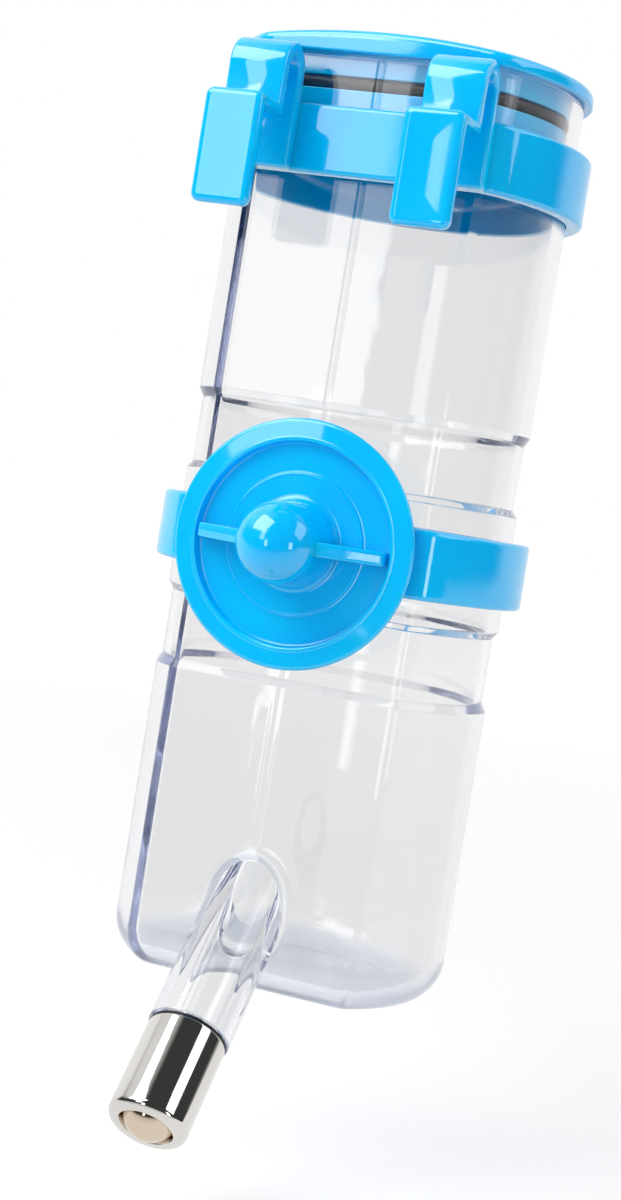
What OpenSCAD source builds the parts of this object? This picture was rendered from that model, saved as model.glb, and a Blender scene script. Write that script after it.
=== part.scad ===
// Small hanging water bottle for a pet cage: a clear bottle of D-shaped section with a ball-valve
// spout, hung on a cage wire by two hooks and clamped to the wires by a large wing nut.
// Every piece is drawn about the bottle's own axis, with its base at height 0 and its flat front
// facing -Y. at_seat() then moves it, so that the origin is the centre of the hooks' half-round seats.

/* [Bottle body] */
// Outside radius of the round back
body_r = 30; // [27:0.5:34]
// Distance from the bottle's axis to its flat front
body_flat = 21.7; // [19:0.1:24]
// Height from the base to the rim
body_h = 161.7; // [150:0.1:190]
// Wall thickness
wall = 2.2; // [1.6:0.1:2.8]
// Thickness of the base
floor_t = 2.6; // [1.8:0.1:4]
// Outside radius between the flat front and the round back
corner_r = 3.2; // [2.8:0.1:4]
// Radius round the edge of the base
base_r = 7.5; // [5:0.5:10]

/* [Belts] */
// Height of the middle of the clamp zone above the base
zone_z = 78; // [70:0.5:90]
// Height of the full-size zone between the two belts
zone_h = 21.8; // [18:0.1:26]
// Height of each recessed belt
belt_h = 13; // [8:0.5:16]
// Depth of the belts
belt_depth = 0.85; // [0.4:0.05:1.1]

/* [Spout] */
// Slope of the spout below the horizontal
spout_angle = 45; // [35:1:55]
// Height at which the spout's axis leaves the flat front
spout_z = 14.4; // [13:0.1:20]
// Length of the clear spout along its axis, to its shoulder
spout_len = 26.2; // [22:0.1:32]
// Outside radius of the clear spout
spout_r = 7.1; // [6.9:0.1:8]
// Radius of the water bore
bore_r = 4; // [3:0.1:4.2]
// Length of the spigot inside the steel sleeve
spigot_len = 7.4; // [5:0.1:7.6]
// Thickness of the spigot's wall
spigot_wall = 1.1; // [0.8:0.05:1.2]

/* [Valve] */
// Outside radius of the steel sleeve
sleeve_r = 6.8; // [6.6:0.05:7.4]
// Wall of the steel sleeve
sleeve_wall = 1; // [0.8:0.05:1.1]
// Length of the steel sleeve
sleeve_len = 17.7; // [16:0.1:22]
// Outside radius of the sleeve's rolled end
sleeve_end_r = 1.5; // [0.8:0.1:2]
// Thickness of the gasket between spout and sleeve
gasket_t = 0.5; // [0.3:0.05:1]
// Diameter of the valve ball
ball_d = 9.5; // [9.2:0.1:10]
// Radius of the sleeve's narrowest opening
mouth_r = 4.2; // [3.9:0.05:4.25]
// Half angle of the conical seat of the ball
seat_angle = 25; // [22:1:27]
// Diameter of the spring's wire
wire_d = 0.6; // [0.4:0.05:0.7]
// Mean radius of the spring
spring_r = 3.2; // [3:0.05:3.3]
// Turns of the spring
spring_turns = 6; // [5:1:7]

/* [Lid] */
// Overhang of the lid's edge past the body
lid_over = 1.4; // [0.8:0.1:2.5]
// Thickness of the lid's edge
lid_edge = 2.2; // [1.6:0.1:3]
// Rise of the lid's dome
dome_rise = 3.4; // [2:0.1:6]
// Depth of the lid's plug in the neck
plug_depth = 9.2; // [8:0.1:12]
// Wall of the plug behind the seal
plug_wall = 1.5; // [1.2:0.1:2]
// Depth of the seal's middle below the rim
seal_drop = 4.6; // [4:0.1:5.5]
// Thickness of the round seal
seal_d = 2; // [1.6:0.1:2.2]

/* [Hanger collar] */
// Thickness of the collar's wall
collar_t = 2.75; // [2:0.05:3.5]
// Height of the collar
collar_h = 11.7; // [9:0.1:15]
// Distance of the collar's top below the bottle's rim
collar_drop = 9.4; // [9:0.1:14]

/* [Hooks] */
// Width of each hook
hook_w = 10.2; // [8:0.1:12]
// Distance from the middle to the centre of a hook
hook_x = 17.2; // [14:0.1:19]
// Radius of the half-round seat, half the width of the slot
hook_seat_r = 2.45; // [2.2:0.05:3]
// Thickness of the hook's legs and crown
hook_t = 2.5; // [2:0.1:3]
// Distance of the rear leg's front face from the collar's front
pad_t = 2.4; // [2.2:0.1:4]
// Gap between the hook's crown and the lid's edge
crown_gap = 0.6; // [0.4:0.1:2]
// Length of the front leg below the seat's centre
front_leg = 7.8; // [6:0.1:10]
// Thickness of the shelf from the front leg to the plate
shelf_t = 1.5; // [1.2:0.1:2.5]
// Gap between the front leg and the plate
plate_gap = 5.6; // [4.5:0.1:8]
// Thickness of the front plate
plate_t = 2.4; // [2:0.1:3.5]
// Height of the front plate
plate_h = 18.9; // [14:0.1:24]
// Radius of the front plate's corners
plate_corner = 1.2; // [0.5:0.1:2]

/* [Clamp band] */
// Thickness of the band's wall
band_t = 2.95; // [2:0.05:3.5]
// Height of the band
band_h = 11.8; // [9:0.1:15]
// Radius of the band's stud
stud_r = 4; // [3.5:0.1:4.2]
// Length of the stud in front of the band
stud_len = 12; // [9:0.1:12.5]
// How far the moulded nub stands out of the band's side
nub_out = 1; // [0.5:0.1:2]
// Height of the nub
nub_h = 4; // [2:0.1:6]

/* [Locking nut] */
// Outside radius of the nut's flange
flange_r = 21.3; // [19.5:0.1:25]
// Radius of the dished middle of the nut
dish_r = 17.4; // [16:0.1:18]
// Depth of the dish
dish_depth = 1.6; // [1:0.1:3]
// Wall thickness of flange and dish
nut_t = 1.5; // [1.2:0.1:2]
// Radius of the slightly raised middle of the dish
land_r = 12; // [9:0.1:14]
// Height of that raised middle
land_h = 0.3; // [0.2:0.05:0.6]
// Radius of the knob
knob_r = 6.9; // [6.5:0.1:8]
// Height of the knob's top above the nut's rear face
knob_h = 17.1; // [16.5:0.1:22]
// Depth of the threaded bore from the nut's rear face
nut_bore = 12.6; // [12.5:0.1:14]
// Distance of a wing's tip from the knob's axis
wing_r = 16.6; // [13:0.1:17]
// Thickness of a wing
wing_t = 2.4; // [1.6:0.1:3]
// Height of a wing at the knob
wing_root_h = 11.2; // [8:0.1:12.5]
// Height of a wing at its tip
wing_tip_h = 4; // [3:0.1:6]

/* [Hidden] */
$fn = 96;

// Clearances
snug_gap = 0.15;    // a ring pulled over the body, and a seal in its groove
plug_gap = 0.4;     // the plug in the neck
seal_gap = 0.06;    // the seal against the neck
thread_gap = 0.08;  // screwed pieces
ball_gap = 0.06;    // the ball at its seat
face_gap = 0.3;     // the nut's rear face and the band
cut = 1;            // how far a cutting shape runs past what it cuts
inner_corner = 1.2; // least radius of a corner on an inner section
corner_swell = 0.03; // how much fuller the seal's corner balls are than its rods
plate_lip = 0.3;    // how far the front plate stands above its shelf
mouth_lip = 0.8;    // depth of the flare outside the sleeve's narrowest opening
mouth_flare = 0.4;  // how much wider the flare is at the sleeve's end
spring_step = 2.2;  // depth of the spring's step below the spout's shoulder

// Planes and heights
zone_low = zone_z - zone_h/2;
zone_high = zone_z + zone_h/2;
collar_top = body_h - collar_drop;
ring_in = snug_gap;
collar_front = body_flat + ring_in + collar_t;
band_front = body_flat + ring_in + band_t;
seat_y = collar_front + pad_t + hook_seat_r;
crown_r = hook_seat_r + hook_t;
seat_z = body_h - crown_gap - crown_r;
front_leg_y = seat_y + crown_r;
plate_y = front_leg_y + plate_gap;
plate_top = seat_z - front_leg + shelf_t + plate_lip;
nut_y = band_front + face_gap;

// Places along the spout's axis, from the flat front outwards
sleeve_s = spout_len + gasket_t;
sleeve_end = sleeve_s + sleeve_len;
ball_r = ball_d/2;
mouth_s = sleeve_end - mouth_lip;
ball_s = mouth_s - (ball_r/cos(seat_angle) - mouth_r)/tan(seat_angle) - ball_gap;
sleeve_in = sleeve_r - sleeve_wall;
seat_s = mouth_s - (sleeve_in - mouth_r)/tan(seat_angle);
spigot_r = sleeve_in - thread_gap;
pocket_r = spigot_r - spigot_wall;
pocket_s = spout_len + spring_step;
spring_from = pocket_s + wire_d/2 + ball_gap;
spring_to = ball_s - sqrt(pow(ball_r + wire_d/2 + ball_gap, 2) - pow(spring_r, 2));

module at_seat() translate([0, seat_y, -seat_z]) children();
module along_spout() translate([0, -body_flat, spout_z]) rotate([90 + spout_angle, 0, 0]) children();
module on_stud() translate([0, -nut_y, zone_z]) rotate([90, 0, 0]) children();

// Section of the bottle, a circle with a flat front and rounded corners, grown outwards by g
module d_section(g) {
    r = body_r + g;
    flat = body_flat + g;
    c = max(corner_r + g, inner_corner);
    cy = flat - c;
    cx = sqrt(pow(r - c, 2) - pow(cy, 2));
    out = (r + cut)/(r - c);
    difference() {
        intersection() {
            circle(r);
            translate([-r, -flat]) square([2*r, r + flat]);
        }
        for (side = [-1, 1])
            polygon([[side*cx, -cy], [side*cx, -flat - cut], [side*(cx*out + cut), -flat - cut],
                     [side*cx*out, -cy*out]]);
    }
    for (side = [-1, 1]) translate([side*cx, -cy]) circle(c, $fn = 48);
}

module d_prism(g, low, high) translate([0, 0, low]) linear_extrude(high - low) d_section(g);

// Outline of a wall's foot: straight, with the round edge of the base
module foot_profile(half_w, h, edge) {
    translate([0, edge]) square([half_w, h - edge]);
    square([half_w - edge, h]);
    translate([half_w - edge, edge]) circle(edge);
}

// The D-shaped prism with its base edge rounded on the back and along the front
module can(g, low, high, edge) {
    r = body_r + g;
    h = high - low;
    intersection() {
        d_prism(g, low, high);
        translate([0, 0, low]) rotate_extrude() intersection() {
            foot_profile(r, h, edge);
            square([r, h]);
        }
        translate([-r - cut, 0, low]) rotate([90, 0, 90]) linear_extrude(2*(r + cut)) union() {
            mirror([1, 0]) foot_profile(body_flat + g, h, edge);
            square([r + cut, h]);
        }
    }
}

module belt(low, high) {
    difference() {
        translate([0, 0, low]) cylinder(r = body_r + cut, h = high - low);
        d_prism(-belt_depth, low - cut, high + cut);
    }
}

module bottle_body() {
    color([0.88, 0.92, 0.97, 0.4]) at_seat() difference() {
        union() {
            difference() {
                can(0, 0, body_h, base_r);
                belt(zone_low - belt_h, zone_low);
                belt(zone_high, zone_high + belt_h);
            }
            along_spout() translate([0, 0, -wall]) cylinder(r = spout_r, h = spout_len + wall);
            along_spout() cylinder(r = spigot_r, h = spout_len + spigot_len);
        }
        can(-wall, floor_t, body_h + cut, base_r - wall);
        along_spout() translate([0, 0, -2*spout_r])
            cylinder(r = bore_r, h = spout_len + spigot_len + 2*spout_r);
        along_spout() translate([0, 0, pocket_s]) cylinder(r = pocket_r, h = spigot_len);
    }
}

module plug(g, low, high) d_prism(-wall - plug_gap + g, low, high);

// The dome of the lid from height low up to its top, about the bottle's axis
module dome(low, top) {
    lid_r = body_r + lid_over;
    dome_r = (pow(lid_r, 2) + pow(dome_rise, 2))/(2*dome_rise);
    rotate_extrude() intersection() {
        translate([0, top - dome_r]) circle(dome_r, $fn = 200);
        translate([0, low]) square([lid_r, top - low]);
    }
}

module lid() {
    groove = seal_d/2 + snug_gap;
    groove_in = -seal_d + plug_gap - seal_gap - snug_gap;
    skirt_in = groove_in - plug_wall;
    color([0, 0.72, 0.98]) at_seat() translate([0, 0, body_h]) difference() {
        union() {
            intersection() {
                d_prism(lid_over, 0, lid_edge + dome_rise);
                dome(0, lid_edge + dome_rise);
            }
            plug(0, -plug_depth, lid_edge/2);
        }
        intersection() {
            plug(skirt_in, -plug_depth - cut, dome_rise);
            dome(-plug_depth - cut, dome_rise);
        }
        difference() {
            plug(cut, -seal_drop - groove, -seal_drop + groove);
            plug(groove_in, -seal_drop - groove - cut, -seal_drop + groove + cut);
        }
    }
}

// The round seal follows the plug: an arc behind, a straight run in front and a ball at each corner
module lid_seal() {
    sr = seal_d/2;
    path_r = body_r - wall - seal_gap - sr;
    path_flat = body_flat - wall - seal_gap - sr;
    path_x = sqrt(pow(path_r, 2) - pow(path_flat, 2));
    color([0.08, 0.08, 0.09]) at_seat() translate([0, 0, body_h - seal_drop]) {
        difference() {
            rotate_extrude() translate([path_r, 0]) circle(sr, $fn = 32);
            translate([0, 0, -seal_d]) linear_extrude(2*seal_d)
                polygon([[0, 0], [2*path_x, -2*path_flat], [-2*path_x, -2*path_flat]]);
        }
        translate([-path_x, -path_flat, 0]) rotate([0, 90, 0]) cylinder(r = sr, h = 2*path_x, $fn = 32);
        for (side = [-1, 1]) translate([side*path_x, -path_flat, 0]) sphere(sr + corner_swell, $fn = 32);
    }
}

// Side outline of a hook about its seat's centre: +x points to the bottle
module hook_profile() {
    leg = seat_z - (collar_top - collar_h);
    difference() {
        union() {
            circle(crown_r);
            translate([-crown_r, -leg]) square([2*crown_r, leg]);
        }
        circle(hook_seat_r);
        translate([-hook_seat_r, -leg - cut]) square([2*hook_seat_r, leg + cut]);
        translate([-crown_r - cut, -leg - cut]) square([crown_r + cut, leg + cut - front_leg]);
    }
    translate([-crown_r - plate_gap - plate_t/2, -front_leg]) square([plate_gap + plate_t, shelf_t]);
}

module rounded_square(w, h, r) {
    translate([-w/2, r]) square([w, h - 2*r]);
    translate([r - w/2, 0]) square([w - 2*r, h]);
    for (x = [r - w/2, w/2 - r], z = [r, h - r]) translate([x, z]) circle(r, $fn = 32);
}

module hook() {
    translate([-hook_w/2, -seat_y, seat_z]) rotate([90, 0, 90]) linear_extrude(hook_w) hook_profile();
    translate([-hook_w/2, -seat_y + hook_seat_r, collar_top - collar_h])
        cube([hook_w, pad_t + collar_t/2, collar_h]);
    translate([0, -plate_y, plate_top - plate_h]) rotate([90, 0, 0])
        linear_extrude(plate_t) rounded_square(hook_w, plate_h, plate_corner);
}

module hanger_collar() {
    color([0, 0.68, 1]) at_seat() difference() {
        union() {
            d_prism(ring_in + collar_t, collar_top - collar_h, collar_top);
            for (side = [-1, 1]) translate([side*hook_x, 0, 0]) hook();
        }
        d_prism(ring_in, collar_top - collar_h - cut, seat_z);
    }
}

module clamp_band() {
    low = zone_z - band_h/2;
    chamfer = 0.8;
    color([0, 0.66, 1]) at_seat() {
        difference() {
            union() {
                d_prism(ring_in + band_t, low, low + band_h);
                translate([-body_r - ring_in - band_t - nub_out, -nub_h/2, zone_z - nub_h/2])
                    cube([nub_out + band_t, nub_h, nub_h]);
            }
            d_prism(ring_in, low - cut, low + band_h + cut);
        }
        translate([0, -band_front, zone_z]) rotate([90, 0, 0]) {
            translate([0, 0, -band_t/2]) cylinder(r = stud_r, h = stud_len + band_t/2 - chamfer);
            translate([0, 0, stud_len - chamfer]) cylinder(r1 = stud_r, r2 = stud_r - chamfer, h = chamfer);
        }
    }
}

// Half section of the nut: flange, dish and raised middle, and the domed knob
module nut_profile() {
    flange_z = dish_depth;
    dome_z = knob_h - knob_r;
    square([dish_r + nut_t, nut_t]);
    square([land_r, nut_t + land_h]);
    translate([dish_r, 0]) square([nut_t, flange_z + nut_t]);
    translate([dish_r, flange_z]) square([flange_r - dish_r - nut_t/2, nut_t]);
    translate([flange_r - nut_t/2, flange_z + nut_t/2]) circle(nut_t/2, $fn = 32);
    square([knob_r, dome_z]);
    intersection() {
        translate([0, dome_z]) circle(knob_r);
        square([knob_r, knob_h]);
    }
}

module locking_nut() {
    color([0, 0.74, 1]) at_seat() on_stud() difference() {
        union() {
            rotate_extrude() nut_profile();
            for (turn = [0, 180]) rotate([0, 0, turn]) translate([0, wing_t/2, 0]) rotate([90, 0, 0])
                linear_extrude(wing_t)
                    polygon([[0, nut_t/2], [0, wing_root_h], [knob_r, wing_root_h], [wing_r, wing_tip_h],
                             [wing_r, nut_t/2]]);
        }
        translate([0, 0, -cut]) cylinder(r = stud_r + thread_gap, h = nut_bore + cut);
    }
}

module nozzle_gasket() {
    color([0.1, 0.09, 0.09]) at_seat() along_spout() translate([0, 0, spout_len]) difference() {
        cylinder(r = sleeve_r, h = gasket_t);
        translate([0, 0, -cut]) cylinder(r = spigot_r + thread_gap, h = gasket_t + 2*cut);
    }
}

// Half section of the steel sleeve, with its rolled end, conical seat and flared mouth
module sleeve_profile() {
    difference() {
        union() {
            translate([0, sleeve_s]) square([sleeve_r, sleeve_len - sleeve_end_r]);
            translate([0, sleeve_s]) square([sleeve_r - sleeve_end_r, sleeve_len]);
            translate([sleeve_r - sleeve_end_r, sleeve_end - sleeve_end_r]) circle(sleeve_end_r, $fn = 48);
        }
        polygon([[0, sleeve_s - cut], [sleeve_in, sleeve_s - cut], [sleeve_in, seat_s], [mouth_r, mouth_s],
                 [mouth_r + mouth_flare, sleeve_end], [mouth_r + mouth_flare, sleeve_end + cut],
                 [0, sleeve_end + cut]]);
    }
}

module nozzle_sleeve() {
    color([0.78, 0.77, 0.75]) at_seat() along_spout() rotate_extrude() sleeve_profile();
}

module nozzle_ball() {
    color([0.85, 0.83, 0.8]) at_seat() along_spout() translate([0, 0, ball_s]) sphere(ball_r);
}

// Height of the spring's wire after a number of turns: a closed turn at each end, open ones between
function coil_s(t) =
    let (closed = wire_d*1.1, open = (spring_to - spring_from - 2*closed)/(spring_turns - 2))
    t < 1 ? spring_from + t*closed
    : t > spring_turns - 1 ? spring_to - (spring_turns - t)*closed
    : spring_from + closed + (t - 1)*open;

module ball_spring() {
    sides = 8;
    per_turn = 20;
    steps = per_turn*spring_turns;
    rings = [for (i = [0 : steps], k = [0 : sides - 1])
        let (turn = 360*i/per_turn, around = 360*k/sides, r = spring_r + wire_d/2*cos(around))
            [r*cos(turn), r*sin(turn), coil_s(i/per_turn) + wire_d/2*sin(around)]];
    walls = [for (i = [0 : steps - 1], k = [0 : sides - 1])
        let (a = i*sides + k, b = i*sides + (k + 1) % sides) [a, a + sides, b + sides, b]];
    caps = [[for (k = [0 : sides - 1]) k], [for (k = [sides - 1 : -1 : 0]) steps*sides + k]];
    color([0.7, 0.7, 0.7]) at_seat() along_spout() polyhedron(rings, concat(walls, caps));
}

bottle_body();
lid();
lid_seal();
hanger_collar();
clamp_band();
locking_nut();
nozzle_gasket();
nozzle_sleeve();
nozzle_ball();
ball_spring();
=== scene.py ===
import math

import bmesh
import bpy
import numpy as np
from mathutils import Matrix, Quaternion, Vector


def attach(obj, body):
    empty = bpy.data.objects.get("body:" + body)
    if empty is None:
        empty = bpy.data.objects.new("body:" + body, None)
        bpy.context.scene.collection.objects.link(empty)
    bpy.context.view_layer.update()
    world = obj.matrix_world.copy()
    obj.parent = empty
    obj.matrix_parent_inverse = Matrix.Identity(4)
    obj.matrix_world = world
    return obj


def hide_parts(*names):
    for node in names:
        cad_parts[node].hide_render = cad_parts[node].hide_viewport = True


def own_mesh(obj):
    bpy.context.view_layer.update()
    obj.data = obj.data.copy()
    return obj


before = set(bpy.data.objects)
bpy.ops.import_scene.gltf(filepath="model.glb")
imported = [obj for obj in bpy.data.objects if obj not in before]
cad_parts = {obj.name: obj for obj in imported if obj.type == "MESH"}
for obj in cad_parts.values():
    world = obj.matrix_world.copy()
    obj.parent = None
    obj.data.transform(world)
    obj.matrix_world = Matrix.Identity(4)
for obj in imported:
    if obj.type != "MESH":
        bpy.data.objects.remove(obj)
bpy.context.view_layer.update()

# Shapes are drawn in the bottle's own millimetres, with its axis at x = y = 0 and its base at z = 0,
# and SEAT moves them so that the origin is the centre of the hooks' seats.
SEAT = np.array([0.0, 29.45, -156.15])
BODY_R, BODY_FLAT, BODY_H, WALL = 30.0, 21.7, 161.7, 2.2
SNUG = 0.15  # gap of the collar and of the band round the body
HUB = 0.02  # how close to its axis a filled profile starts
C45 = math.sqrt(0.5)


def lin(r, g, b):
    """A colour as a picture shows it, from 0 to 255, as linear values."""
    return tuple((c / 255 / 12.92 if c <= 10 else ((c / 255 + 0.055) / 1.055) ** 2.4) for c in (r, g, b)) + (1.0,)


# ---------- materials ----------
class Nodes:
    """A small helper that adds nodes to one material and links them."""

    def __init__(self, name):
        self.mat = bpy.data.materials.new(name)
        self.mat.use_nodes = True
        self.tree = self.mat.node_tree
        self.bsdf = self.tree.nodes["Principled BSDF"]
        self.out = self.tree.nodes["Material Output"]
        self.coord = self.add("ShaderNodeTexCoord").outputs["Object"]

    def add(self, kind, **values):
        n = self.tree.nodes.new(kind)
        for k, v in values.items():
            setattr(n, k, v)
        return n

    def link(self, a, b):
        self.tree.links.new(a, b)

    def put(self, **values):
        for k, v in values.items():
            self.bsdf.inputs[k.replace("_", " ")].default_value = v

    def noise(self, scale, detail=3.0, stretch=(1, 1, 1)):
        m = self.add("ShaderNodeMapping")
        m.inputs["Scale"].default_value = stretch
        self.link(self.coord, m.inputs["Vector"])
        n = self.add("ShaderNodeTexNoise")
        n.inputs["Scale"].default_value = scale
        n.inputs["Detail"].default_value = detail
        self.link(m.outputs["Vector"], n.inputs["Vector"])
        return n.outputs["Fac"]

    def between(self, fac, low, high, start=0.35, end=0.65):
        m = self.add("ShaderNodeMapRange")
        for k, v in (("From Min", start), ("From Max", end), ("To Min", low), ("To Max", high)):
            m.inputs[k].default_value = v
        self.link(fac, m.inputs["Value"])
        return m.outputs["Result"]

    def tint(self, fac, a, b, start=0.35, end=0.65):
        r = self.add("ShaderNodeValToRGB")
        r.color_ramp.elements[0].position, r.color_ramp.elements[0].color = start, a
        r.color_ramp.elements[1].position, r.color_ramp.elements[1].color = end, b
        self.link(fac, r.inputs["Fac"])
        self.link(r.outputs["Color"], self.bsdf.inputs["Base Color"])

    def bumps(self, *layers):
        """Layers of bump, each (height socket, strength, distance in metres)."""
        last = None
        for height, strength, distance in layers:
            b = self.add("ShaderNodeBump")
            b.inputs["Strength"].default_value = strength
            b.inputs["Distance"].default_value = distance
            self.link(height, b.inputs["Height"])
            if last is not None:
                self.link(last, b.inputs["Normal"])
            last = b.outputs["Normal"]
        self.link(last, self.bsdf.inputs["Normal"])


def blue_plastic():
    m = Nodes("blue_plastic")
    m.tint(m.noise(45, 2), lin(0, 186, 254), lin(0, 196, 255))
    m.link(m.between(m.noise(160, 4), 0.03, 0.07), m.bsdf.inputs["Roughness"])
    m.bumps((m.noise(55, 1), 0.25, 0.0003), (m.noise(1500, 3), 0.04, 0.00005))
    m.put(Subsurface_Weight=0.3, Subsurface_Scale=0.003, Subsurface_Radius=(0.05, 0.5, 1.0), IOR=1.5,
          Specular_IOR_Level=1.0)
    return m.mat


def clear_plastic():
    m = Nodes("clear_plastic")
    m.put(Transmission_Weight=1.0, IOR=1.5)
    place = m.add("ShaderNodeSeparateXYZ")
    m.link(m.coord, place.inputs[0])
    # the underside of the base is a little rough and tinted grey-blue as painted shade; the spout in front of it
    # isn't
    rough_shaded_underside = m.add("ShaderNodeMath", operation="MULTIPLY")
    m.link(m.between(place.outputs["Z"], 1.0, 0.0, -0.1555, -0.1515), rough_shaded_underside.inputs[0])
    m.link(m.between(place.outputs["Y"], 0.0, 1.0, 0.008, 0.015), rough_shaded_underside.inputs[1])
    # painted shade: a darker grey-blue on the underside of the base
    m.tint(rough_shaded_underside.outputs[0], (0.906, 0.906, 0.906, 1), (0.62, 0.68, 0.78, 1), 0, 1)
    rough = m.add("ShaderNodeMath", operation="ADD")
    m.link(m.between(m.noise(220, 4), 0.004, 0.03), rough.inputs[0])
    m.link(m.between(rough_shaded_underside.outputs[0], 0.0, 0.2, 0, 1), rough.inputs[1])
    m.link(rough.outputs[0], m.bsdf.inputs["Roughness"])
    m.bumps((m.noise(70, 2), 0.06, 0.0004), (m.noise(25, 1, (1, 1, 0.3)), 0.05, 0.0008))
    v = m.add("ShaderNodeVolumeAbsorption")
    v.inputs["Color"].default_value = (0.30, 0.36, 0.58, 1)
    v.inputs["Density"].default_value = 11.0
    m.link(v.outputs["Volume"], m.out.inputs["Volume"])
    clear = m.add("ShaderNodeBsdfTransparent")
    clear.inputs["Color"].default_value = (0.89, 0.90, 0.93, 1)
    mix = m.add("ShaderNodeMixShader")
    m.link(m.add("ShaderNodeLightPath").outputs["Is Shadow Ray"], mix.inputs[0])
    m.link(m.bsdf.outputs["BSDF"], mix.inputs[1])
    m.link(clear.outputs["BSDF"], mix.inputs[2])
    m.link(mix.outputs["Shader"], m.out.inputs["Surface"])
    return m.mat


def black_rubber():
    m = Nodes("black_rubber")
    m.tint(m.noise(400, 4), (0.005, 0.005, 0.006, 1), (0.011, 0.010, 0.011, 1))
    m.link(m.between(m.noise(700, 3), 0.34, 0.5), m.bsdf.inputs["Roughness"])
    m.bumps((m.noise(2500, 3), 0.12, 0.00005),)
    return m.mat


def steel(name, base, low, high, stretch):
    """Bare metal with its roughness between low and high, in marks drawn out by stretch."""
    m = Nodes(name)
    m.put(Metallic=1.0)
    m.tint(m.noise(90, 3), tuple(c * 0.94 for c in base) + (1,), tuple(base) + (1,))
    m.link(m.between(m.noise(900, 4, stretch), low, high), m.bsdf.inputs["Roughness"])
    m.bumps((m.noise(1400, 3, stretch), 0.01, 0.00003),)
    return m.mat


BLUE, CLEAR, RUBBER = blue_plastic(), clear_plastic(), black_rubber()
POLISHED = steel("polished_steel", (0.76, 0.74, 0.71), 0.03, 0.08, (1, 0.15, 1))
# the ball is tinted warm brown and darker than plain steel: a painted reflection of tan surroundings
BALL = steel("ball_steel", (0.72, 0.60, 0.48), 0.04, 0.09, (1, 1, 1))
WIRE = steel("spring_wire", (0.6, 0.6, 0.6), 0.2, 0.35, (1, 1, 1))


# ---------- mesh helpers ----------
def arc(cx, cy, r, a0, a1, n):
    """The points of an arc between two angles in degrees, in n steps."""
    angles = [math.radians(a) for a in np.linspace(a0, a1, n + 1)]
    return [(cx + r * math.cos(a), cy + r * math.sin(a)) for a in angles]


def held(points, closed, gap=0.2):
    """A polyline with a point close to each end of its long straight runs, so that they shade flat."""
    out = []
    for p, q in zip(points, points[1:] + points[:1] if closed else points[1:]):
        out.append(p)
        d = math.dist(p, q)
        if d > 4 * gap:
            out += [tuple(a + (b - a) * k for a, b in zip(p, q)) for k in (gap / d, 1 - gap / d)]
    return out if closed else out + [points[-1]]


def fillet(points, closed=False, seg=5):
    """A polyline with its corners rounded: each point is (x, y) or (x, y, radius)."""
    out, n = [], len(points)
    for i, pt in enumerate(points):
        p, r = np.array(pt[:2], float), (pt[2] if len(pt) > 2 else 0)
        if r <= 0 or (not closed and i in (0, n - 1)):
            out.append(tuple(p))
            continue
        a, b = np.array(points[i - 1][:2], float) - p, np.array(points[(i + 1) % n][:2], float) - p
        la, lb = np.linalg.norm(a), np.linalg.norm(b)
        a, b = a / la, b / lb
        turn = math.acos(max(-1, min(1, float(a @ b))))
        if turn > math.pi - 0.02:
            out.append(tuple(p))
            continue
        t = min(r / math.tan(turn / 2), la * 0.49, lb * 0.49)
        rr = t * math.tan(turn / 2)
        c = p + (a + b) / np.linalg.norm(a + b) * rr / math.sin(turn / 2)
        s, e = p + a * t - c, p + b * t - c
        a0 = math.atan2(s[1], s[0])
        d = (math.atan2(e[1], e[0]) - a0 + math.pi) % (2 * math.pi) - math.pi
        angles = [a0 + d * k / seg for k in range(seg + 1)]
        out += [(c[0] + rr * math.cos(w), c[1] + rr * math.sin(w)) for w in angles]
    return held(out, closed)


def loft(rings, closed=False):
    """Vertices and faces of a skin over a row of rings, with its ends filled where the row isn't closed."""
    n, m = len(rings[0]), len(rings)
    verts, faces = np.concatenate([np.asarray(r, float) for r in rings]), []
    for j in range(m if closed else m - 1):
        a, b = j * n, ((j + 1) % m) * n
        faces += [(a + i, a + (i + 1) % n, b + (i + 1) % n, b + i) for i in range(n)]
    if not closed:
        faces += [tuple(range(n - 1, -1, -1)), tuple(range((m - 1) * n, m * n))]
    return verts, faces


def mesh_of(*shapes):
    """One mesh, in the row frame's metres, of several (vertices, faces) shapes in the bottle's millimetres."""
    me = bpy.data.meshes.new("shape")
    verts, faces, at = [], [], 0
    for v, f in shapes:
        verts += [tuple(p) for p in (np.asarray(v, float) + SEAT) / 1000]
        faces += [tuple(i + at for i in face) for face in f]
        at = len(verts)
    me.from_pydata(verts, [], faces)
    bm = bmesh.new()
    bm.from_mesh(me)
    bmesh.ops.remove_doubles(bm, verts=bm.verts, dist=2e-7)
    bmesh.ops.dissolve_degenerate(bm, edges=bm.edges, dist=1e-8)
    bmesh.ops.recalc_face_normals(bm, faces=bm.faces)
    bm.to_mesh(me)
    bm.free()
    return me


def piece(name, me, mat, body, nodes, sharp=40):
    """A piece of the scene that stands for CAD nodes and rides on a body."""
    me.materials.clear()
    me.materials.append(mat)
    me.shade_smooth()
    me.set_sharp_from_angle(angle=math.radians(sharp))
    o = bpy.data.objects.new(name, me)
    bpy.context.scene.collection.objects.link(o)
    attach(o, body)
    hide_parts(*nodes)


def combine(base, cutters):
    """The mesh base with each (operation, mesh) of cutters applied."""
    o = bpy.data.objects.new("base", base)
    bpy.context.scene.collection.objects.link(o)
    helpers = []
    for op, me in cutters:
        h = bpy.data.objects.new("cutter", me)
        bpy.context.scene.collection.objects.link(h)
        helpers.append(h)
        mod = o.modifiers.new("cut", "BOOLEAN")
        mod.operation, mod.solver, mod.object = op, "EXACT", h
    bpy.context.view_layer.update()
    made = bpy.data.meshes.new_from_object(o.evaluated_get(bpy.context.evaluated_depsgraph_get()))
    for h in [o, *helpers]:
        bpy.data.objects.remove(h)
    return made


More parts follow.
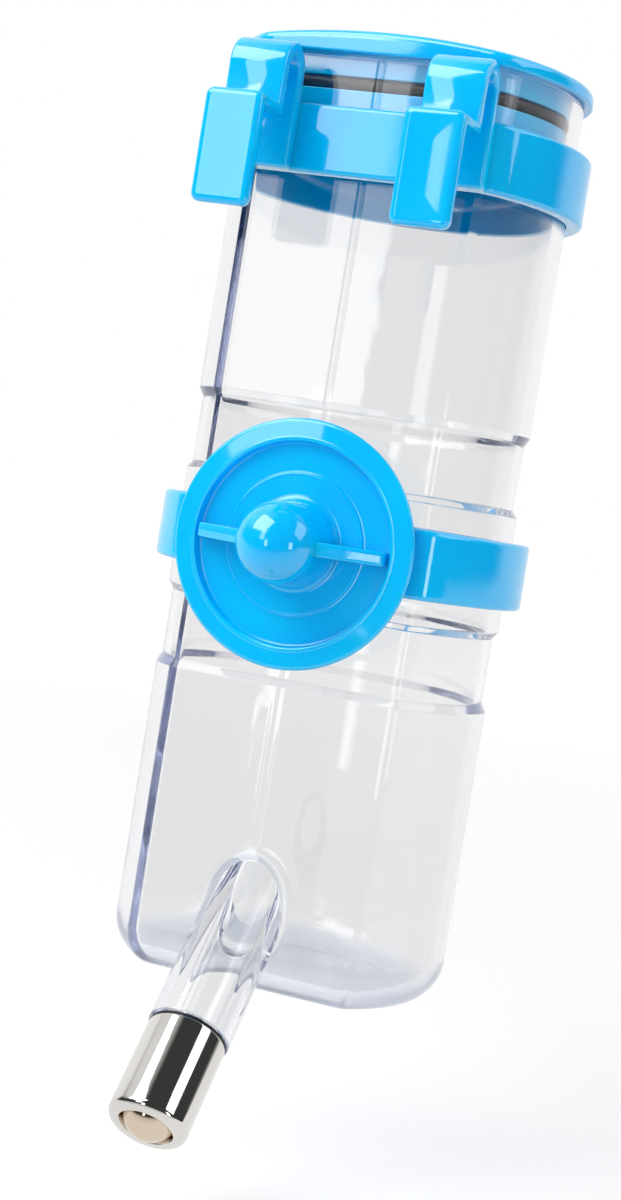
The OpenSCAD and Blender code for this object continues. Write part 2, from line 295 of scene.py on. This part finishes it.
def bevelled(verts, faces, width, limit=30):
    """Vertices and faces with every edge sharper than limit degrees rounded."""
    me = bpy.data.meshes.new("block")
    me.from_pydata([tuple(v) for v in verts], [], faces)
    bm = bmesh.new()
    bm.from_mesh(me)
    bmesh.ops.recalc_face_normals(bm, faces=bm.faces)
    edges = [e for e in bm.edges if len(e.link_faces) == 2 and e.calc_face_angle(0) > math.radians(limit)]
    bmesh.ops.bevel(bm, geom=edges, offset=width, segments=3, profile=0.5, affect="EDGES", clamp_overlap=True)
    bm.verts.ensure_lookup_table()
    bm.verts.index_update()
    v = np.array([x.co for x in bm.verts])
    f = [tuple(x.index for x in face.verts) for face in bm.faces]
    bm.free()
    bpy.data.meshes.remove(me)
    return v, f


def block(x0, x1, y0, y1, z0, z1, r):
    """A box with its edges rounded."""
    v = [(x, y, z) for x in (x0, x1) for y in (y0, y1) for z in (z0, z1)]
    f = [(0, 1, 3, 2), (4, 6, 7, 5), (0, 4, 5, 1), (2, 3, 7, 6), (0, 2, 6, 4), (1, 5, 7, 3)]
    return bevelled(v, f, r)


def slab(outline, across, along, up, origin, thick):
    """A closed outline in a plane, given a thickness either side of it."""
    n = len(outline)
    rings = [np.array([np.array(origin) + np.array(along) * a + np.array(up) * b + np.array(across) * s * thick / 2
                       for a, b in outline]) for s in (-1, 1)]
    return loft(rings)


BACK_STEPS, CORNER_STEPS = 88, 9
# Places across the middle of the front, each with its share of the height of the raised strip
STRIP = [(-3.9, 0), (-3.5, 0.7), (-3.0, 1), (-1.6, 1), (-1.2, 0.7), (-0.85, 0), (-0.65, 0), (-0.4, 0), (0, 0),
         (0.4, 0), (0.65, 0), (0.85, 0), (3.0, 0)]


def d_ring(g, z, corner=3.2, seam=0.0, strip=0.0):
    """One level of the D-shaped section with rounded corners, grown outwards by g.

    seam lifts a fine parting line front and back, and strip a flat raised strip beside it on the front.
    """
    r, flat = BODY_R + g, BODY_FLAT + g
    c = max(corner + g, 1.2)
    cy = flat - c
    cx = math.sqrt((r - c) ** 2 - cy ** 2)
    a0 = -math.degrees(math.atan2(cy, cx))
    turns = [math.radians(a) for a in np.linspace(a0, 180 - a0, BACK_STEPS + 1)]
    pts = [(r * math.cos(t), r * math.sin(t)) for t in turns]
    pts[BACK_STEPS // 2] = (0.0, r + seam)
    pts += arc(-cx, -cy, c, 180 - a0, 270, CORNER_STEPS)[1:]
    pts += [(x, -flat) for x in (0.25 - cx, *np.linspace(-cx, -3.9, 7)[1:-1])]
    pts += [(x, -flat - strip * k - (seam if abs(x) < 0.5 else 0)) for x, k in STRIP]
    pts += [(x, -flat) for x in (*np.linspace(3.0, cx, 7)[1:-1], cx - 0.25, cx)]
    pts += arc(cx, -cy, c, -90, a0, CORNER_STEPS)[:-1]
    return np.array([(x, y, z) for x, y in pts])


def revolve(profile, origin, axis, n=96):
    """The rings of a profile of (radius, height) points turned about an axis."""
    axis, e1 = np.array(axis, float), np.array([1.0, 0, 0])
    e2 = np.cross(axis, e1)
    return [np.array([np.array(origin) + axis * h + r * (math.cos(t) * e1 + math.sin(t) * e2)
                      for t in np.linspace(0, 2 * math.pi, n, endpoint=False)]) for r, h in profile]


# ---------- clear body with its spout ----------
SPOUT_O, SPOUT_U = np.array([0, -BODY_FLAT, 14.4]), np.array([0, -C45, -C45])
SPOUT_R, SHOULDER = 7.1, 26.2
BORE_R, POCKET_R, POCKET_FROM = 4.0, 4.62, 28.4
SPIGOT_R, SPIGOT_END = 5.72, 33.6
ZONE, ZONE_HALF, BELT_H, BELT_DEPTH = 78.0, 10.9, 13, 0.85
BASE_R, FLOOR_T = 7.5, 2.6
FRONT_CORNER, SEAM, STRIP_RISE = 1.8, 0.07, 0.13


def body_mesh():
    def belt(low, high, a, b):
        """A shallow belt between two heights, with the half heights of its slanted edges."""
        return [(0, low - a, 0.3), (-BELT_DEPTH, low + a, 0.3), (-BELT_DEPTH, high - b, 0.3), (0, high + b, 0.3)]

    low, high = ZONE - ZONE_HALF, ZONE + ZONE_HALF
    outer = [(-19.5, 0.3), (-14, 0.27), (-11, 0.15), (-9.1, 0.03), (-8.4, 0)]
    outer += arc(-BASE_R, BASE_R, BASE_R, -90, 0, 14)
    side = fillet([(0, 7.6), *belt(low - BELT_H, low, 0.72, 0.54), *belt(high, high + BELT_H, 0.54, 0.72),
                   (0, BODY_H, 0.6), (-WALL, BODY_H, 0.6), (-WALL, 8.0)], seg=4)
    inner = arc(-BASE_R, 7.9, 5.3, 0, -90, 12) + [(-13, FLOOR_T), (-19.5, FLOOR_T)]
    # between the base and the lower belt the rings stand where the strip begins and ends
    outer += [(0, z) for z in (7.7, 8.5, 16.0, 26.0, 50.5, 52.0)]
    side = [p for p in side if p[0] or p[1] > 52.3]
    rings = [d_ring(g, z, FRONT_CORNER, seam=SEAM if g > -1 else 0.0,
                    strip=STRIP_RISE if 8 < z < 51 and g == 0 else 0.0) for g, z in outer + side]
    rings += [d_ring(g, z, FRONT_CORNER) for g, z in inner]
    return mesh_of(loft(rings))


def front_y(z):
    """The depth of the outer front face at a height, with the round edge of the base."""
    if z >= BASE_R:
        return -BODY_FLAT
    return -(BODY_FLAT - BASE_R + math.sqrt(max(0, BASE_R ** 2 - (BASE_R - z) ** 2)))


def tube_mesh(n=72):
    """The outside of the spout: it starts inside the front wall and swells into the wall in a small fillet."""
    e1, e2 = np.array([1.0, 0, 0]), np.cross(SPOUT_U, [1.0, 0, 0])
    angles = np.linspace(0, 2 * math.pi, n, endpoint=False)
    root = []
    for t in angles:
        side = SPOUT_O + SPOUT_R * (math.cos(t) * e1 + math.sin(t) * e2)
        s = -8.5
        for _ in range(60):
            p = side + SPOUT_U * s
            s += (p[1] - front_y(p[2])) / C45
        root.append(side + SPOUT_U * s)
    root = np.array(root)
    rings = [[], [], []] + [[] for _ in range(8)]
    for i in range(n):
        p0 = root[i]
        flow = root[(i + 1) % n] - root[i - 1]
        away = np.array([flow[2], 0, -flow[0]])
        away /= np.linalg.norm(away)
        away *= 1 if away @ (p0 - SPOUT_O) > 0 else -1
        d = 1.5 + 0.7 * math.sin(angles[i])
        on = p0 + away * d
        on[1] = front_y(on[2])
        rings[0].append(on + [0, 1.1, 0])
        rings[1].append(on + [0, 0.5, 0])
        rings[2].append(on + [0, 0.02, 0])
        off = p0 + SPOUT_U * d
        for k in range(8):
            t = (k + 1) / 8
            rings[3 + k].append((1 - t) ** 2 * on + 2 * t * (1 - t) * p0 + t * t * off)
    rings = [np.array(r) for r in rings]
    shoulder = fillet([(SPOUT_R, 10.5), (SPOUT_R, 18), (SPOUT_R, SHOULDER, 0.35), (SPIGOT_R, SHOULDER, 0.15),
                       (SPIGOT_R, SPIGOT_END, 0.4), (BORE_R, SPIGOT_END)])
    rings += revolve(shoulder, SPOUT_O, SPOUT_U, n=n)
    return mesh_of(loft(rings))


def bore_mesh():
    """What is cut out of the spout: the water bore and the wider pocket of the spring."""
    bore = [(HUB, -14.2), (BORE_R, -14.2), (BORE_R, POCKET_FROM),
            (POCKET_R, POCKET_FROM), (POCKET_R, 35), (HUB, 35)]
    return mesh_of(loft(revolve(bore, SPOUT_O, SPOUT_U, n=72)))


body = combine(body_mesh(), [("UNION", tube_mesh()), ("DIFFERENCE", bore_mesh())])
piece("clear_body", body, CLEAR, "bottle", ["bottle_body"], sharp=32)

# ---------- lid and its seal ----------
LID_OVER, LID_EDGE, DOME = 1.4, 2.2, 3.4
LID_R = BODY_R + LID_OVER
DOME_R = (LID_R ** 2 + DOME ** 2) / (2 * DOME)
# How the plug's outside, its groove and its inside differ from the body's section, and depths below the rim
PLUG_OUT, GROOVE_IN, PLUG_IN = -2.6, -4.41, -5.91
GROOVE_TOP, GROOVE_LOW, PLUG_DEPTH = 3.45, 5.75, 9.2
SEAL_R, SEAL_GAP, SEAL_DROP = 1.0, 0.06, 4.6


def domed(ring, top, drop=0.0):
    """A ring laid on the dome whose top is at the height top, lowered by drop."""
    r2 = ring[:, 0] ** 2 + ring[:, 1] ** 2
    ring[:, 2] = top - DOME_R + np.sqrt(DOME_R ** 2 - r2) - drop
    return ring


def lid_mesh():
    rings = []
    top, inner_top = BODY_H + LID_EDGE + DOME, BODY_H + DOME
    base = d_ring(-1.2, 0)
    for s in (0.03, 0.12, 0.25, 0.4, 0.55, 0.7, 0.8, 0.88, 0.94):
        rings.append(domed(base * [s, s, 1], top, 0.35))
    for g, drop in ((-2.2, 0.34), (-1.5, 0.25), (-1.0, 0.08), (-0.5, 0.0)):
        rings.append(domed(d_ring(g, 0), top, drop))
    for a in np.linspace(0, 90, 6):
        g = LID_OVER - 0.9 * (1 - math.sin(math.radians(a)))
        rings.append(domed(d_ring(g, 0), top, 0.9 * (1 - math.cos(math.radians(a)))))
    low = fillet([(LID_OVER, BODY_H + 1.0), (LID_OVER, BODY_H, 0.35), (PLUG_OUT, BODY_H, 0.3),
                  (PLUG_OUT, BODY_H - GROOVE_TOP, 0.15), (GROOVE_IN, BODY_H - GROOVE_TOP, 0.3),
                  (GROOVE_IN, BODY_H - GROOVE_LOW, 0.3), (PLUG_OUT, BODY_H - GROOVE_LOW, 0.15),
                  (PLUG_OUT, BODY_H - PLUG_DEPTH, 0.5), (PLUG_IN, BODY_H - PLUG_DEPTH, 0.4),
                  (PLUG_IN, BODY_H - 1.0)], seg=4)
    rings += [d_ring(g, z) for g, z in low]
    for g in (PLUG_IN, -6.6, -8.5):
        rings.append(domed(d_ring(g, 0), inner_top, 0.6 if g == PLUG_IN else 0))
    for s in (0.7, 0.4, 0.1, 0.02):
        rings.append(domed(d_ring(-8.5, 0) * [s, s, 1], inner_top))
    return mesh_of(loft(rings))


def seal_mesh():
    g0, z0 = -WALL - SEAL_GAP - SEAL_R, BODY_H - SEAL_DROP
    turns = np.linspace(0, 2 * math.pi, 20, endpoint=False)
    rings = [d_ring(g0 + SEAL_R * math.cos(t), z0 + SEAL_R * math.sin(t)) for t in turns]
    return mesh_of(loft(rings, closed=True))


piece("lid_cap", lid_mesh(), BLUE, "lid", ["lid"])
piece("lid_ring", seal_mesh(), RUBBER, "lid", ["lid_seal"])

# ---------- hanger collar with its hooks ----------
COLLAR_TOP, COLLAR_H, COLLAR_T = BODY_H - 9.4, 11.7, 2.75
SEAT_Y, SEAT_Z, SEAT_R, HOOK_T, HOOK_W, HOOK_X = 29.45, 156.15, 2.45, 2.5, 10.2, 17.2
CROWN = SEAT_R + HOOK_T
PAD_T, FRONT_LEG, SHELF_T, PLATE_GAP, PLATE_T, PLATE_H = 2.4, 7.8, 1.5, 5.6, 2.4, 18.9
PLATE_RISE = 1.8  # the plate's top above the front leg's lower end
SEAT_RISE = 3.85  # the hooks' seats above the collar's top


def band_shape(inner, outer, low, high, r):
    """A D-shaped ring round the body between two heights, its outer edges rounded by r."""
    prof = fillet([(inner, low, 0.25), (outer, low, r), (outer, high, r), (inner, high, 0.25)], closed=True, seg=5)
    return loft([d_ring(g, z) for g, z in prof], closed=True)


def plate_shape(x):
    """The front plate of a hook: rounded all round, its face sunk a little in the middle."""
    w, h = HOOK_W, PLATE_H
    back, front = -(SEAT_Y + CROWN + PLATE_GAP), -(SEAT_Y + CROWN + PLATE_GAP + PLATE_T)
    z_mid = SEAT_Z - FRONT_LEG + PLATE_RISE - h / 2

    def ring(inset, y):
        hw, hh = w / 2 - inset, h / 2 - inset
        c = max(1.4 - inset, 0.35) if inset < 1.3 else 0.35
        c = min(c, hw * 0.9)
        pts = []
        for sx, sz, a in ((1, -1, -90), (1, 1, 0), (-1, 1, 90), (-1, -1, 180)):
            pts += arc(sx * (hw - c), sz * (hh - c), c, a, a + 90, 5)
        return np.array([(x + px, y, z_mid + pz) for px, pz in pts])

    rings = [ring(1.0, back), ring(0.3, back - 0.09), ring(0.05, back - 0.4)]
    r = 1.1
    for a in np.linspace(0, 90, 6):
        s, c = math.sin(math.radians(a)), math.cos(math.radians(a))
        rings.append(ring(r * (1 - c), front + r * (1 - s)))
    for inset in (1.15, 1.6, 2.1, 2.7, 3.3, 4.0, 4.6, 4.95):
        face = ring(inset, front)
        u, v = (face[:, 0] - x) / (w / 2 - r), (face[:, 2] - z_mid) / (h / 2 - r)
        face[:, 1] += 0.14 * (1 - u ** 2) * (1 - v ** 2)
        rings.append(face)
    return loft(rings)


def hook_shape(x):
    """A hook from its rear leg in the collar, over the seat and down to the shelf that carries the plate."""
    leg = SEAT_Z - (COLLAR_TOP - COLLAR_H)
    inside = SEAT_R + PAD_T + 1.4
    shelf = -CROWN - PLATE_GAP - PLATE_T / 2
    outline = [(inside, -leg), (SEAT_R, -leg)] + arc(0, 0, SEAT_R, 0, 180, 22)
    shelf_top = SHELF_T - FRONT_LEG
    outline += [(-SEAT_R, -FRONT_LEG), (shelf, -FRONT_LEG), (shelf, shelf_top), (-CROWN, shelf_top)]
    outline += arc(0, 0, CROWN, 180, 0, 30)
    outline += [(CROWN, -SEAT_RISE), (inside, -SEAT_RISE)]
    v, f = slab(outline, (1, 0, 0), (0, 1, 0), (0, 0, 1), (x, -SEAT_Y, SEAT_Z), HOOK_W)
    return bevelled(v, f, 0.62, 35)


def collar_mesh():
    shapes = [band_shape(SNUG, SNUG + COLLAR_T, COLLAR_TOP - COLLAR_H, COLLAR_TOP, 0.7)]
    for s in (-1, 1):
        shapes += [hook_shape(s * HOOK_X), plate_shape(s * HOOK_X)]
    return mesh_of(*shapes)


piece("collar_and_hooks", collar_mesh(), BLUE, "bottle", ["hanger_collar"])

# ---------- clamp band ----------
BAND_T, BAND_H = 2.95, 11.8
NUB_OUT, NUB_HALF = 1.0, 2
FACE_GAP = 0.3  # between the band's front and the nut's rear face
STUD_R, STUD_END, GROOVE_R = 4, 12.0, 3.5
NUT_O = np.array([0, -(BODY_FLAT + SNUG + BAND_T + FACE_GAP), ZONE])


def band_mesh():
    low = ZONE - BAND_H / 2
    shapes = [band_shape(SNUG, SNUG + BAND_T, low, low + BAND_H, 0.8)]
    shapes.append(block(-BODY_R - SNUG - BAND_T - NUB_OUT, -BODY_R - 1.0, -NUB_HALF, NUB_HALF, ZONE - NUB_HALF,
                        ZONE + NUB_HALF, 0.45))
    stud = [(HUB, -1.5), (STUD_R, -1.5), (STUD_R, 0.6)]
    for k in range(4):
        z = 1.2 + 2.6 * k
        stud += [(STUD_R, z), (GROOVE_R, z + 0.5), (GROOVE_R, z + 1.1), (STUD_R, z + 1.6)]
    stud += [(STUD_R, 11.2), (3.2, STUD_END), (HUB, STUD_END)]
    shapes.append(loft(revolve(stud, NUT_O + [0, FACE_GAP, 0], (0, -1, 0), n=64)))
    return mesh_of(*shapes)


piece("clamp_ring", band_mesh(), BLUE, "bottle", ["clamp_band"])


# ---------- locking nut ----------
KNOB_R, KNOB_Z, KNOB_H = 6.9, 10.2, 17.1
FLANGE_R, DISH_OUT = 21.3, 18.9
NUT_BORE_R, NUT_BORE = 4.08, 12.6
WING_R, WING_T = 16.6, 2.4


def nut_mesh():
    """The nut, turned from the knob's top out to the flange and back along the rear face, with its two wings."""
    dome = arc(0, KNOB_Z, KNOB_R, 90, 0, 18)
    dome[0] = (HUB, KNOB_H)
    rest = fillet([(KNOB_R, KNOB_Z), (6.95, 6.0), (7.5, 1.8, 0.9),
                   (11.75, 1.75, 0.15), (12.0, 2.0, 0.16), (12.25, 1.5, 0.12),
                   (17.3, 1.5, 0.4), (17.45, 3.2, 0.25), (18.1, 3.2, 0.25), (18.2, 3.12, 0.2),
                   (FLANGE_R, 2.8, 0.7), (FLANGE_R, 1.62, 0.72), (DISH_OUT, 1.6, 0.3), (DISH_OUT, 0, 0.4),
                   (NUT_BORE_R, 0, 0.3), (NUT_BORE_R, NUT_BORE, 0.2), (HUB, NUT_BORE)], seg=4)
    shapes = [loft(revolve(dome + rest[1:], NUT_O, (0, -1, 0), n=128))]
    for s in (-1, 1):
        outline = fillet([(3.0, 0.75), (3.0, 11.2), (7.0, 11.0, 2.0), (WING_R, 4.3, 0.9), (WING_R, 0.75)],
                         closed=True)
        v, f = slab(outline, (0, 0, 1), (s, 0, 0), (0, -1, 0), NUT_O, WING_T)
        shapes.append(bevelled(v, f, 0.75, 35))
    return mesh_of(*shapes)


piece("wing_nut", nut_mesh(), BLUE, "nut", ["locking_nut"])


# ---------- nozzle ----------
SLEEVE_R, SLEEVE_IN, SLEEVE_FROM, SLEEVE_END, ROLL = 6.8, 5.8, 26.7, 44.39, 1.5


def sleeve_mesh():
    """The steel sleeve with its rolled end, flared mouth and conical seat."""
    prof = [(SLEEVE_IN, SLEEVE_FROM)]
    prof += fillet([(SLEEVE_IN, 26.72), (SLEEVE_R, SLEEVE_FROM, 0.25), (SLEEVE_R, 40)], seg=3)[1:]
    prof += arc(SLEEVE_R - ROLL, SLEEVE_END - ROLL, ROLL, 0, 90, 10)
    prof += [(5.0, SLEEVE_END), (4.78, SLEEVE_END - 0.1), (4.62, SLEEVE_END - 0.4), (4.5, 42.96), (SLEEVE_IN, 40.17),
             (SLEEVE_IN, 30)]
    return mesh_of(loft(revolve(prof, SPOUT_O, SPOUT_U), closed=True))


def gasket_mesh():
    prof = fillet([(SLEEVE_IN, SHOULDER, 0.1), (SLEEVE_R, SHOULDER, 0.18), (SLEEVE_R, SLEEVE_FROM, 0.18),
                   (SLEEVE_IN, SLEEVE_FROM, 0.1)], closed=True, seg=3)
    return mesh_of(loft(revolve(prof, SPOUT_O, SPOUT_U), closed=True))


piece("steel_sleeve", sleeve_mesh(), POLISHED, "bottle", ["nozzle_sleeve"])
piece("nozzle_ring", gasket_mesh(), RUBBER, "bottle", ["nozzle_gasket"])
for node, mat in (("nozzle_ball", BALL), ("ball_spring", WIRE)):
    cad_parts[node].data.materials.clear()
    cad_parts[node].data.materials.append(mat)
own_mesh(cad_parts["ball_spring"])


# ---------- stage, light and camera ----------
def lit_for(tree, kinds):
    """A factor that is 1 for the given kinds of ray."""
    path = tree.nodes.new("ShaderNodeLightPath")
    total = path.outputs[kinds[0]]
    for k in kinds[1:]:
        m = tree.nodes.new("ShaderNodeMath")
        m.operation = "MAXIMUM"
        tree.links.new(total, m.inputs[0])
        tree.links.new(path.outputs[k], m.inputs[1])
        total = m.outputs[0]
    return total


def make_floor():
    """A pale floor below the hanging bottle.

    Its glow is weaker near the bottle, a painted shade on the floor around it, and stronger far off so the far floor
    shows white. Glossy surfaces see a painted reflection of it, dark in front of the bottle and bright behind.
    """
    me = bpy.data.meshes.new("floor")
    z, s = -0.19, 4.0
    me.from_pydata([(-s, -s, z), (s, -s, z), (s, s, z), (-s, s, z)], [], [(0, 1, 2, 3)])
    o = bpy.data.objects.new("floor", me)
    bpy.context.scene.collection.objects.link(o)
    m = Nodes("pale_floor")
    m.tint(m.noise(3, 2), (0.73, 0.73, 0.73, 1), (0.75, 0.75, 0.75, 1))
    m.put(Roughness=0.9, Specular_IOR_Level=0.0)
    glow = m.add("ShaderNodeEmission")
    dark = m.add("ShaderNodeEmission")
    dark.inputs["Strength"].default_value = 0.0
    mix, both = m.add("ShaderNodeMixShader"), m.add("ShaderNodeAddShader")
    m.link(lit_for(m.tree, ["Is Camera Ray", "Is Glossy Ray", "Is Transmission Ray"]), mix.inputs[0])
    m.link(dark.outputs[0], mix.inputs[1])
    m.link(glow.outputs[0], mix.inputs[2])
    m.link(m.bsdf.outputs[0], both.inputs[0])
    m.link(mix.outputs[0], both.inputs[1])
    place = m.add("ShaderNodeSeparateXYZ")
    m.link(m.coord, place.inputs[0])
    # painted shade: the glow is weaker close to the bottle and grows with distance
    away = m.add("ShaderNodeVectorMath", operation="LENGTH")
    m.link(m.coord, away.inputs[0])
    m.link(m.between(away.outputs["Value"], 0.27, 0.6, 0.28, 1.3), glow.inputs["Strength"])
    # painted reflection: glossy rays see only this glow, dark in front of the bottle and bright behind
    sheen, mirrored = m.add("ShaderNodeEmission"), m.add("ShaderNodeMixShader")
    m.link(m.between(place.outputs["Y"], 0.05, 0.95, -0.3, -0.05), sheen.inputs["Strength"])
    only = m.add("ShaderNodeMath", operation="SUBTRACT", use_clamp=True)
    m.link(lit_for(m.tree, ["Is Glossy Ray"]), only.inputs[0])
    m.link(lit_for(m.tree, ["Is Transmission Ray"]), only.inputs[1])
    m.link(only.outputs[0], mirrored.inputs[0])
    m.link(both.outputs[0], mirrored.inputs[1])
    m.link(sheen.outputs[0], mirrored.inputs[2])
    # seen from below, the floor isn't there
    below, through = m.add("ShaderNodeMixShader"), m.add("ShaderNodeBsdfTransparent")
    m.link(m.add("ShaderNodeNewGeometry").outputs["Backfacing"], below.inputs[0])
    m.link(mirrored.outputs[0], below.inputs[1])
    m.link(through.outputs[0], below.inputs[2])
    m.link(below.outputs[0], m.out.inputs["Surface"])
    me.materials.append(m.mat)


def make_world():
    """White behind the object, plain light on it, and for glossy rays a room dark in front and bright behind."""
    w = bpy.data.worlds.new("studio")
    bpy.context.scene.world = w
    w.use_nodes = True
    t = w.node_tree
    t.nodes.clear()
    add, link = t.nodes.new, t.links.new

    def background(strength):
        b = add("ShaderNodeBackground")
        b.inputs["Color"].default_value = (1, 1, 1, 1)
        if isinstance(strength, float):
            b.inputs["Strength"].default_value = strength
        else:
            link(strength, b.inputs["Strength"])
        return b.outputs[0]

    def ramp(socket, a, b, low, high):
        m = add("ShaderNodeMapRange")
        m.interpolation_type = "SMOOTHSTEP"
        for k, v in (("From Min", a), ("From Max", b), ("To Min", low), ("To Max", high)):
            m.inputs[k].default_value = v
        link(socket, m.inputs["Value"])
        return m.outputs["Result"]

    def mix(factor, a, b):
        m = add("ShaderNodeMixShader")
        link(factor, m.inputs[0])
        link(a, m.inputs[1])
        link(b, m.inputs[2])
        return m.outputs[0]

    def calc(operation, a, b):
        m = add("ShaderNodeMath")
        m.operation = operation
        for k, v in enumerate((a, b)):
            if isinstance(v, float):
                m.inputs[k].default_value = v
            else:
                link(v, m.inputs[k])
        return m.outputs[0]

    xyz = add("ShaderNodeSeparateXYZ")
    link(add("ShaderNodeTexCoord").outputs["Generated"], xyz.inputs[0])
    x, y, z = (xyz.outputs[k] for k in "XYZ")
    behind = calc("SUBTRACT", y, calc("MULTIPLY", calc("MAXIMUM", x, 0.0), 0.7))
    left = calc("MULTIPLY", ramp(calc("MULTIPLY", x, -1.0), 0.0, 0.5, 0.0, 0.85), ramp(z, 0.2, 0.6, 0.0, 1.0))
    room = calc("MAXIMUM", ramp(behind, -0.05, 0.3, 0.05, 1.0), left)
    shader = mix(lit_for(t, ["Is Glossy Ray"]), background(0.55), background(room))
    shader = mix(lit_for(t, ["Is Camera Ray", "Is Transmission Ray"]), shader, background(1.0))
    out = add("ShaderNodeOutputWorld")
    link(shader, out.inputs["Surface"])


AIM = Vector((0, 0.01, -0.075))  # a point near the middle of the flat front, which the lamps face


def softbox(name, azimuth, elevation, distance, size, power, lean=0.0, upright=False):
    """A rectangular lamp at a direction in degrees and a distance in metres from AIM.

    lean turns it about its own beam in degrees, and upright keeps its face vertical.
    """
    a, e = math.radians(azimuth), math.radians(elevation)
    back = Vector((math.sin(a) * math.cos(e), -math.cos(a) * math.cos(e), math.sin(e)))
    light = bpy.data.lights.new(name, "AREA")
    light.shape, light.size, light.size_y, light.energy = "RECTANGLE", size[0], size[1], power
    o = bpy.data.objects.new(name, light)
    o.location = AIM + back * distance
    o.rotation_mode = "QUATERNION"
    facing = Vector((back.x, back.y, 0)) if upright else back
    o.rotation_quaternion = (-facing).to_track_quat("-Z", "Y") @ Quaternion((0, 0, 1), math.radians(lean))
    bpy.context.scene.collection.objects.link(o)


PHOTO_H, SENSOR = 1200, 36.0


def make_camera():
    """The fitted camera, with angles in degrees, its distance in mm and its focal length in the photo's pixels."""
    az, el, dist, focal = math.radians(17.91332), math.radians(0.564563), 391.417, 2171.444
    yaw, pitch, roll = math.radians(-0.625291), math.radians(-1.999681), math.radians(9.176971)
    back = Vector((math.sin(az) * math.cos(el), -math.cos(az) * math.cos(el), math.sin(el)))
    right = Vector((math.cos(az), math.sin(az), 0))
    up = right.cross(-back)
    ahead = -back * math.cos(yaw) + right * math.sin(yaw)
    right = right * math.cos(yaw) + back * math.sin(yaw)
    ahead, up = ahead * math.cos(pitch) + up * math.sin(pitch), up * math.cos(pitch) - ahead * math.sin(pitch)
    right, up = right * math.cos(roll) + up * math.sin(roll), up * math.cos(roll) - right * math.sin(roll)
    cam = bpy.data.cameras.new("camera")
    cam.sensor_fit, cam.sensor_width, cam.lens = "AUTO", SENSOR, focal / PHOTO_H * SENSOR
    cam.clip_start, cam.clip_end = 0.01, 20
    o = bpy.data.objects.new("camera", cam)
    aim_z = 81.7087  # height above the base of the point on the bottle's axis that the camera is placed from
    place = back * dist + Vector(SEAT) + Vector((0, 0, aim_z))
    m = Matrix((right, up, -ahead)).transposed().to_4x4()
    m.translation = place / 1000
    o.matrix_world = m
    bpy.context.scene.collection.objects.link(o)
    bpy.context.scene.camera = o


make_floor()
make_world()
softbox("key", -42, 43, 1.0, (0.8, 0.7), 7.4)
softbox("window", -24, 14.4, 0.92, (0.2, 0.34), 0.55, upright=True)
softbox("fill", 57, -2.5, 0.6, (0.11, 0.17), 0.22, upright=True)
softbox("low", -10, -3.7, 0.5, (0.065, 0.155), 0.11, upright=True)
softbox("right", 94.6, 35, 0.9, (0.41, 0.7), 1.6, lean=-53)
make_camera()
bpy.context.scene.view_settings.view_transform = "Standard"
# many bounces, because light crosses the clear walls several times
cycles = bpy.context.scene.cycles
cycles.max_bounces, cycles.glossy_bounces, cycles.transmission_bounces = 96, 96, 96
